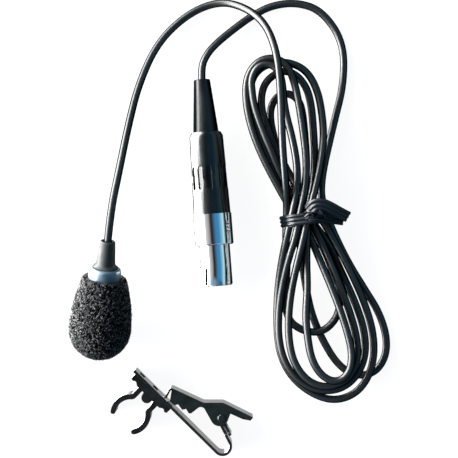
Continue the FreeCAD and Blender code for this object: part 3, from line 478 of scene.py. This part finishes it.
def grown(name, base, tree, values):
    """A plain mesh object of what the tree makes from a base object."""
    modifier = base.modifiers.new("grow", "NODES")
    modifier.node_group = tree
    for item in tree.interface.items_tree:
        if item.item_type == "SOCKET" and item.in_out == "INPUT" and item.name in values:
            modifier[item.identifier] = values[item.name]
    seen = base.evaluated_get(bpy.context.evaluated_depsgraph_get())
    mesh = bpy.data.meshes.new_from_object(seen)
    base.modifiers.remove(modifier)
    mesh.name = name
    made = bpy.data.objects.new(name, mesh)
    bpy.context.scene.collection.objects.link(made)
    return made


# Pieces that keep a solid's shape


def dressed(node, body, finish, edge_mm, reshape=None):
    """The solid's shape with its triangles merged to clean faces, softened edges and smooth shading.

    reshape takes each corner's place and gives back where it stands on this copy.
    """
    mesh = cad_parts[node].data.copy()
    made = bpy.data.objects.new(node + "_shell", mesh)
    bpy.context.scene.collection.objects.link(made)
    shape = bmesh.new()
    shape.from_mesh(mesh)
    bmesh.ops.remove_doubles(shape, verts=shape.verts, dist=MERGE)
    if reshape:
        for vert in shape.verts:
            vert.co = reshape(vert.co)
    bmesh.ops.dissolve_limit(
        shape, angle_limit=math.radians(FLAT_DEG), verts=shape.verts, edges=shape.edges)
    shape.to_mesh(mesh)
    shape.free()
    mesh.materials.clear()
    mesh.materials.append(finish)
    for face in mesh.polygons:
        face.use_smooth = True
        face.material_index = 0
    mesh.set_sharp_from_angle(angle=math.radians(SOLID_CREASE_DEG))
    bevel = made.modifiers.new("edge", "BEVEL")
    bevel.width = edge_mm * MM
    bevel.segments = 2
    bevel.limit_method = "ANGLE"
    bevel.angle_limit = math.radians(BEVEL_DEG)
    bevel.use_clamp_overlap = True
    bevel.harden_normals = True
    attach(made, body)
    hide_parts(node)
    return made


# Foam windscreen: a lathed skin whose surface is broken into cut cells

FOAM_RADIUS, FOAM_REAR, FOAM_REAR_RADIUS, FOAM_RIM = 9.0, 24.6, 6.25, 0.5
FOAM_BORE, FOAM_BORE_END = 4.85, 5.0
# It stands this much further back, along the table, than its solid.
FOAM_SHIFT = 1.05
FOAM_PLACE = Matrix.Translation(mic_flat * (FOAM_SHIFT * MM)) @ IN_MIC
# Points round the skin, and rows over its dome and along its side
FOAM_AROUND, DOME_ROWS, SIDE_ROWS = 340, 78, 86
# Width and depth of a cell, and the share of its width over which a wall slopes down
CELL_MM, PIT_MM, WALL_SLOPE = 0.56, 0.42, 0.42
# The whole skin is sunk a little, and unevenly over a few millimetres.
SUNK_MM, UNEVEN_MM, UNEVEN_RUN_MM = 0.05, 0.08, 2.6
# The smooth bore's cell_edge, as dark as a cell's middle
BORE_EDGE = 0.3
# Torn cells: how many on a square metre, their radius, half the thickness of their wall, and their seed
TORN_DENSITY, TORN_RADIUS, TORN_WALL, TORN_SEED = 3.6e6, 0.2, 0.05, 11


def foam_outline():
    """Radius, height and roughness from the foam's nose, over its rim and down its bore."""
    drop = FOAM_RADIUS - FOAM_REAR_RADIUS
    run = FOAM_REAR - FOAM_RADIUS
    sweep = (run * run + drop * drop) / (2 * drop)
    line = [(0, 0, 0.0)]
    for n in range(1, DOME_ROWS + 1):
        turn = math.pi / 2 * n / DOME_ROWS
        line.append((FOAM_RADIUS * math.sin(turn), FOAM_RADIUS * (1 - math.cos(turn)), 1.0))
    for n in range(1, SIDE_ROWS + 1):
        along = (run - FOAM_RIM) * n / SIDE_ROWS
        radius = FOAM_RADIUS - sweep + math.sqrt(sweep * sweep - along * along)
        line.append((radius, FOAM_RADIUS + along, 1.0))
    rim = line[-1][0] - FOAM_RIM
    for turn in (30, 60, 90):
        angle = math.radians(turn)
        height = FOAM_REAR - FOAM_RIM + FOAM_RIM * math.sin(angle)
        line.append((rim + FOAM_RIM * math.cos(angle), height, 0.8))
    for n in range(1, 4):
        line.append((rim + (FOAM_BORE + 0.2 - rim) * n / 3, FOAM_REAR, 0.4))
    line += [(FOAM_BORE, FOAM_REAR - 0.3, 0.0), (FOAM_BORE, 18.0, 0.0), (FOAM_BORE, 11.0, 0.0)]
    return line + [(FOAM_BORE, FOAM_BORE_END, 0.0), (0, FOAM_BORE_END, 0.0)]


def cell_edge_at(place):
    """1 on the wall between two foam cells, 0 in a cell's middle."""
    near = noise.voronoi(place / (CELL_MM * MM))[0]
    gap = (near[1] - near[0]) / WALL_SLOPE
    return 1.0 - min(max(gap, 0.0), 1.0)


def foam_skin():
    shape = bmesh.new()
    edge = shape.verts.layers.float.new("cell_edge")
    outline = foam_outline()
    rows = skinned(shape, [circle(radius, height, FOAM_AROUND) for radius, height, _ in outline])
    for row, (radius, height, rough) in zip(rows, outline):
        for vert in row:
            wall = cell_edge_at(vert.co)
            vert[edge] = wall if rough else BORE_EDGE
            uneven = noise.noise(vert.co / (UNEVEN_RUN_MM * MM)) * UNEVEN_MM
            deep = (PIT_MM * (1 - wall) + uneven + SUNK_MM) * rough
            centre = mm(0, 0, max(min(height, FOAM_REAR - FOAM_RADIUS), FOAM_RADIUS))
            vert.co += (centre - vert.co).normalized() * (deep * MM)
    bmesh.ops.transform(shape, matrix=FOAM_PLACE, verts=shape.verts)
    return shown("foam_skin", shape, FOAM)


def torn_cells(skin):
    """Open rings of cell wall that stand out of the skin, a tenth of a millimetre thick."""
    tree, given = geometry_tree("torn_cells", (
        ("Density", "NodeSocketFloat"), ("Cell Radius", "NodeSocketFloat"), ("Wall", "NodeSocketFloat"),
        ("Seed", "NodeSocketInt"),
    ))
    points = add(tree, "GeometryNodeDistributePointsOnFaces", links={
        "Mesh": (given, "Geometry"), "Density": (given, "Density"), "Seed": (given, "Seed"),
    })
    ring = add(
        tree, "GeometryNodeCurvePrimitiveCircle", {"Resolution": 6}, {"Radius": (given, "Cell Radius")})
    wire = add(tree, "GeometryNodeCurvePrimitiveCircle", {"Resolution": 3}, {"Radius": (given, "Wall")})
    cell = add(tree, "GeometryNodeCurveToMesh", links={
        "Curve": (ring, "Curve"), "Profile Curve": (wire, "Curve"),
    })
    # Each is tilted by up to 0.9 radians, spun all the way round and scaled by its own draw.
    tilt = add(
        tree, "FunctionNodeRandomValue", {"Min": (-0.9, -0.9, 0.0), "Max": (0.9, 0.9, 6.28)},
        {"Seed": (given, "Seed")}, data_type="FLOAT_VECTOR",
    )
    turn = add(tree, "FunctionNodeEulerToRotation", links={"Euler": (tilt, "Value")})
    lie = add(tree, "FunctionNodeRotateRotation", links={
        "Rotation": (points, "Rotation"), "Rotate By": (turn, "Rotation"),
    }, rotation_space="LOCAL")
    size = add(
        tree, "FunctionNodeRandomValue", {"Min": 0.6, "Max": 1.3}, {"Seed": (given, "Seed")},
        data_type="FLOAT",
    )
    cells = add(tree, "GeometryNodeInstanceOnPoints", links={
        "Points": (points, "Points"), "Instance": (cell, "Mesh"), "Rotation": (lie, "Rotation"),
        "Scale": (size, "Value"),
    })
    finish_tree(tree, cells, "Instances", FOAM)
    made = grown("foam_cells", skin, tree, {
        "Density": TORN_DENSITY, "Cell Radius": TORN_RADIUS * MM, "Wall": TORN_WALL * MM,
        "Seed": TORN_SEED,
    })
    # Every torn ring takes the full cell_edge, so its colour is the painted highlight's palest grey.
    marks = made.data.attributes
    mark = marks.get("cell_edge") or marks.new("cell_edge", "FLOAT", "POINT")
    mark.data.foreach_set("value", [1.0] * len(made.data.vertices))
    return made


foam = foam_skin()
foam_cells = torn_cells(foam)
for piece in (foam, foam_cells):
    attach(piece, "windscreen_body")
    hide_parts("windscreen")


# Twist tie: a flat ribbed ribbon round the waist, its two ends twisted together and pressed flat

TIE_WIDTH, TIE_THICK, TIE_BEAD = 3.3, 0.4, 0.26
# The beads' middles and the half width of one, as shares of half the ribbon's width
BEADS, BEAD_HALF = (-0.66, 0.0, 0.66), 0.27
SECTION_STEPS = 30


def ribbon_section(width):
    """Corners round a ribbon with three moulded beads along its outer face."""
    half, flat = width / 2, TIE_THICK / 2
    top = []
    for n in range(SECTION_STEPS + 1):
        a = half * (2 * n / SECTION_STEPS - 1)
        near = min(abs(a - c * half) for c in BEADS)
        bead = max(0.0, math.cos(math.pi / 2 * min(near / (BEAD_HALF * half), 1.0)))
        top.append((a, flat + TIE_BEAD * bead))
    return top + [(half, -flat), (0.0, -flat), (-half, -flat)]


def along_line(points):
    """Places along the NURBS line through the corners, and the way it runs at each."""
    guide = smooth_line("guide", points)
    guide.data.resolution_u = 7
    mesh = bpy.data.meshes.new_from_object(guide)
    places = [v.co.copy() for v in mesh.vertices]
    bpy.data.objects.remove(guide)
    bpy.data.meshes.remove(mesh)
    ways = []
    for n in range(len(places)):
        ways.append((places[min(n + 1, len(places) - 1)] - places[max(n - 1, 0)]).normalized())
    return places, ways


def ribbon(shape, points, across, turns=0.0, width=TIE_WIDTH, narrow=1.0):
    """A ribbon along a line; across is the way of its width.

    It is twisted evenly by turns and narrowed to a share of its width at its end.
    """
    places, ways = along_line(points)
    side = Vector(across).normalized()
    rings = []
    last = len(places) - 1
    for n, (place, way) in enumerate(zip(places, ways)):
        share = n / last
        flat = (side - way * side.dot(way)).normalized()
        flat = Matrix.Rotation(2 * math.pi * turns * share, 3, way) @ flat
        out = way.cross(flat)
        size = 1 + (narrow - 1) * share
        rings.append([place + (flat * (a * size) + out * b) * MM for a, b in ribbon_section(width)])
    rows = skinned(shape, rings)
    for row in (rows[0], rows[-1]):
        shape.faces.new(row)


def twist_tie():
    shape = bmesh.new()
    # Once round the waist, in the hank's own axes
    band = ((0.0, -0.2, 0.5), (-4.2, 0.2, 0.45), (-6.2, 0.4, 1.6), (-6.6, 0.5, 5.0), (-6.2, 0.5, 9.4),
            (-4.4, 0.5, 12.2), (-1.2, 0.4, 12.75), (2.2, 0.3, 12.8), (5.4, 0.2, 11.6), (8.2, 0.0, 8.6),
            (9.6, -0.1, 4.6), (8.4, -0.2, 0.9), (5.0, -0.2, 0.45), (0.0, -0.2, 0.5))
    side = IN_HANK.to_3x3() @ Vector((0.0, 1, 0))
    ribbon(shape, [IN_HANK @ mm(*p) for p in band], side)
    # The two ends and the knot are read from above: across, down and height.
    upper = ((309, 211, 13.1), (313, 205.5, 13.9), (321, 204, 14.0), (330, 207.5, 13.2),
             (339, 212.5, 12.0), (348, 217, 10.9))
    lower = ((308, 217, 13.2), (314, 216, 13.6), (321, 216, 12.6), (329, 218.5, 11.2),
             (336, 220.5, 10.2), (343, 221.5, 9.6))
    knot = ((305, 217, 13.0), (309, 213, 13.8), (314, 212, 14.0), (319, 214.5, 13.4), (324, 217, 12.4))
    for corners, across, turns, width, narrow in (
        (upper, (0.25, 1, 0.15), 0.02, 3.9, 0.82),
        (lower, (0.1, 1, -0.3), 0.05, 3.2, 0.7),
        (knot, (0.1, 1, 0), 0.8, 2.8, 1.0),
    ):
        ribbon(shape, [from_above(*p) for p in corners], across, turns, width, narrow)
    made = shown("twist_tie_ribbon", shape, TIE, CREASE_DEG)
    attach(made, "main")
    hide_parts("twist_tie")
    return made


tie = twist_tie()


# The cord itself

cord = smooth_line("cord", cord_route())
cord.data.resolution_u = 8
cord.data.bevel_depth = CORD_DIAMETER / 2 * MM
cord.data.bevel_resolution = 5
cord.data.use_fill_caps = True
cord.data.materials.append(CORD)
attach(cord, "main")
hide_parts("mic_lead", "cord_hank", "plug_lead")


# Rigid pieces

# The head's ring stands 3.1 mm out of the foam with a softly rounded edge, and its boot flares at
# the foot.
RING_REAR = 28.77
housing = turned("mic_housing_ring", [
    (3.9, 5.3), (4.5, 5.3), (4.5, 24.6), (4.56, 25.6), (4.6, 26.6), (4.58, 27.5), (4.48, 28.1),
    (4.26, 28.52), (3.95, 28.72), (3.6, RING_REAR), (1.93, RING_REAR), (1.93, 27.4), (3.9, 27.4),
], SATIN_CHROME, closed=True)
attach(housing, "main")
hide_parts("mic_housing")
mic_boot = turned("mic_boot_shell", [
    (0, 26.2), (2.8, 26.2), (2.8, 27.0), (1.9, 27.3), (1.9, 28.6), (3.5, RING_REAR + 0.02), (3.55, 29.0),
    (3.3, 29.22), (2.95, 29.45), (2.72, 29.9), (2.6, 30.8), (2.5, 32.0), (2.34, 34.0), (2.18, 36.0),
    (2.1, 36.4), (1.9, 36.6), (1.6, 36.62), (1.35, 36.45), (1.3, MIC_BOOT_END), (0, MIC_BOOT_END),
], RUBBER)
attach(mic_boot, "main")
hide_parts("mic_boot")


# The plug's nose: its length, its radius, the lip's radius at the mouth, and how near the mouth that is
NOSE_LENGTH, NOSE_RADIUS, LIP_RADIUS, LIP_DEPTH = 6.35, 4.4, 4.1, 0.02
# The solid's corners within the first radius are its bore's, those past the second its outer wall's.
BORE_LIMIT, WALL_LIMIT = 3.875, 3.95


def straight_nose(place):
    """The nose at one radius from its mouth to the barrel, with a chamfered lip."""
    along = (place - PLUG_ORIGIN).dot(PLUG_AXIS)
    out = place - PLUG_ORIGIN - PLUG_AXIS * along
    radius = out.length / MM
    if along > NOSE_LENGTH * MM or radius < BORE_LIMIT:
        return place
    if radius > WALL_LIMIT:
        return place + out.normalized() * (NOSE_RADIUS * MM - out.length)
    if along < LIP_DEPTH * MM:
        return place + out.normalized() * (LIP_RADIUS * MM - out.length)
    return place


# The way the clip strip's outer face looks. Past the first length along it the holder's corners are
# its tabs', and they are sunk by the second.
STRIP_WAY = Vector((0.70215, 0.71203, 0))
TAB_FROM, TAB_SINK = -9.85, 0.45


def sunk_tabs(place):
    """The holder's tabs a little below the strip's outer face, so that their slots read dark."""
    return place - STRIP_WAY * (TAB_SINK * MM) if place.dot(STRIP_WAY) > TAB_FROM * MM else place


barrel = dressed("plug_barrel", "main", CHROME, 0.12, reshape=straight_nose)
sleeve = dressed("plug_sleeve", "main", ABS, 0.12)
plug_boot = dressed("plug_boot", "main", SMOOTH_RUBBER, 0.2)
insert = dressed("plug_insert", "main", ACETAL, 0.05)
contacts = dressed("plug_contacts", "main", GOLD, 0.04)
latch = dressed("plug_latch", "latch_body", CHROME, 0.08)
dressed("clip_strip", "main", CLIP_STEEL, 0.12)
dressed("clip_jaw", "jaw_body", CLIP_STEEL, 0.1)
dressed("clip_pin", "jaw_body", CLIP_STEEL, 0.06)
dressed("mic_holder", "main", ACETAL, 0.2, reshape=sunk_tabs)

# Solids that stay as they are, with their real finish
for node, finish in (
    ("mic_grille", NICKEL), ("capsule_felt", FELT), ("electret_capsule", CAN), ("capsule_gasket", RUBBER),
    ("capsule_board", BOARD), ("mic_wires", WIRES), ("plug_clamp", ACETAL), ("plug_wires", WIRES),
    ("latch_spring", MUSIC_WIRE), ("clip_spring", MUSIC_WIRE),
):
    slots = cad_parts[node].data.materials
    slots.clear()
    slots.append(finish)


# Lit table and studio light

# Metres from the middle of the table to its edges
TABLE = 4
floor_mesh = bpy.data.meshes.new("floor")
floor_mesh.from_pydata(
    [(-TABLE, -TABLE, 0), (TABLE, -TABLE, 0), (TABLE, TABLE, 0), (-TABLE, TABLE, 0)], [], [(0, 1, 2, 3)])
floor = bpy.data.objects.new("floor", floor_mesh)
bpy.context.scene.collection.objects.link(floor)
floor.visible_glossy = False


def lit_table_finish(tree):
    # Bright to the eye, and a third as bright to the pieces that it lights from below.
    seen = add(tree, "ShaderNodeLightPath")
    glow = add(
        tree, "ShaderNodeMapRange", {"To Min": 0.3, "To Max": 0.93}, {"Value": (seen, "Is Camera Ray")})
    return add(
        tree, "ShaderNodeBsdfPrincipled",
        {"Base Color": hex_colour("5a5a5a"), "Roughness": 0.9, "Specular IOR Level": 0.1,
         "Emission Color": (1, 1, 1, 1)},
        {"Emission Strength": (glow, "Result")},
    )


floor_mesh.materials.append(material("white_lit_acrylic", lit_table_finish))


# The window: the way to its middle, and how much brighter it is than the walls
WINDOW_WAY, WINDOW_POWER = (-0.95, 0.31, 0), 45.0
# Colours round the room by the angle from overhead in degrees: left is negative, right is positive.
ROOM = (
    (-180, "ffffff"), (-56, "ffffff"), (-40, "d4d6d8"), (-24, "a59e9c"), (-15, "3a383a"), (-8, "2c2c30"),
    (0, "3f5264"), (14, "4688b8"), (34, "4893c6"), (50, "8cc8e6"), (64, "cbf8ff"), (72, "4f7678"),
    (78, "0a1c1e"), (98, "0a1c1e"), (112, "cfe0e0"), (124, "4a5454"), (132, "0c1010"), (144, "0c1010"),
    (158, "e0e4e2"), (180, "ffffff"),
)
# Towards the near wall the room is a softer, darker blue, which the tilted head's ring mirrors.
NEAR_WALL = (
    (-180, "ffffff"), (-84, "ffffff"), (-60, "d0e8f2"), (-30, "94b4c4"), (0, "6b93ab"), (24, "3f6d8e"),
    (42, "2f587a"), (66, "5b7f8e"), (90, "8fa9b6"), (116, "d4e6ee"), (140, "4a5454"), (158, "e0e4e2"),
    (180, "ffffff"),
)


def round_the_room(tree, share, stops):
    return ramp(tree, share, "Result", [((angle + 180) / 360, hex_colour(c)) for angle, c in stops])


def fade(tree, source, output, gone, full):
    """0 where the source is at the first value and 1 at the second, with a soft run between."""
    return add(
        tree, "ShaderNodeMapRange", {"From Min": gone, "From Max": full}, {"Value": (source, output)},
        interpolation_type="SMOOTHSTEP",
    )


def studio():
    """A bright window low on the left, a pale wall above it, and a cool blue room on the right."""
    world = bpy.data.worlds.new("studio")
    bpy.context.scene.world = world
    world.use_nodes = True
    tree = world.node_tree
    tree.nodes.clear()
    place = add(tree, "ShaderNodeTexCoord")
    split = add(tree, "ShaderNodeSeparateXYZ", links={"Vector": (place, "Generated")})
    angle = add(tree, "ShaderNodeMath", links={0: (split, "X"), 1: (split, "Z")}, operation="ARCTAN2")
    share = add(
        tree, "ShaderNodeMapRange",
        {"From Min": -math.pi, "From Max": math.pi}, {"Value": (angle, "Value")},
    )
    sky = round_the_room(tree, share, ROOM)
    # The window is full within 22 degrees of its middle, from left to right, and gone at 52. It is
    # full up to 17 degrees of height and gone at 41, and below the table's level it is full down to
    # 64 degrees and gone at 80.
    flat = add(
        tree, "ShaderNodeVectorMath", {1: (1, 1, 0)}, {0: (place, "Generated")}, operation="MULTIPLY")
    way = add(tree, "ShaderNodeVectorMath", links={0: (flat, "Vector")}, operation="NORMALIZE")
    facing = add(
        tree, "ShaderNodeVectorMath", {1: WINDOW_WAY}, {0: (way, "Vector")}, operation="DOT_PRODUCT")
    wide = fade(tree, facing, "Value", 0.62, 0.93)
    low = fade(tree, split, "Z", 0.66, 0.3)
    keep = fade(tree, split, "Z", -0.985, -0.9)
    both = add(
        tree, "ShaderNodeMath", links={0: (wide, "Result"), 1: (low, "Result")}, operation="MULTIPLY")
    pane = add(
        tree, "ShaderNodeMath", links={0: (both, "Value"), 1: (keep, "Result")}, operation="MULTIPLY")
    power = add(
        tree, "ShaderNodeMath", {1: WINDOW_POWER, 2: 1.0}, {0: (pane, "Value")}, operation="MULTIPLY_ADD")
    near_sky = round_the_room(tree, share, NEAR_WALL)
    near = fade(tree, split, "Y", -0.24, -0.36)
    room = blend(tree, sky, "Color", near_sky, "Color")
    tree.links.new(near.outputs["Result"], room.inputs[0])
    around = add(tree, "ShaderNodeBackground", links={"Color": (room, 2), "Strength": (power, "Value")})
    # The eye sees plain white past the table.
    plain = add(tree, "ShaderNodeBackground", {"Strength": 1.0, "Color": (1, 1, 1, 1)})
    seen = add(tree, "ShaderNodeLightPath")
    mixed = add(tree, "ShaderNodeMixShader", links={
        "Fac": (seen, "Is Camera Ray"), 1: (around, 0), 2: (plain, 0),
    })
    add(tree, "ShaderNodeOutputWorld", links={"Surface": (mixed, 0)})


studio()
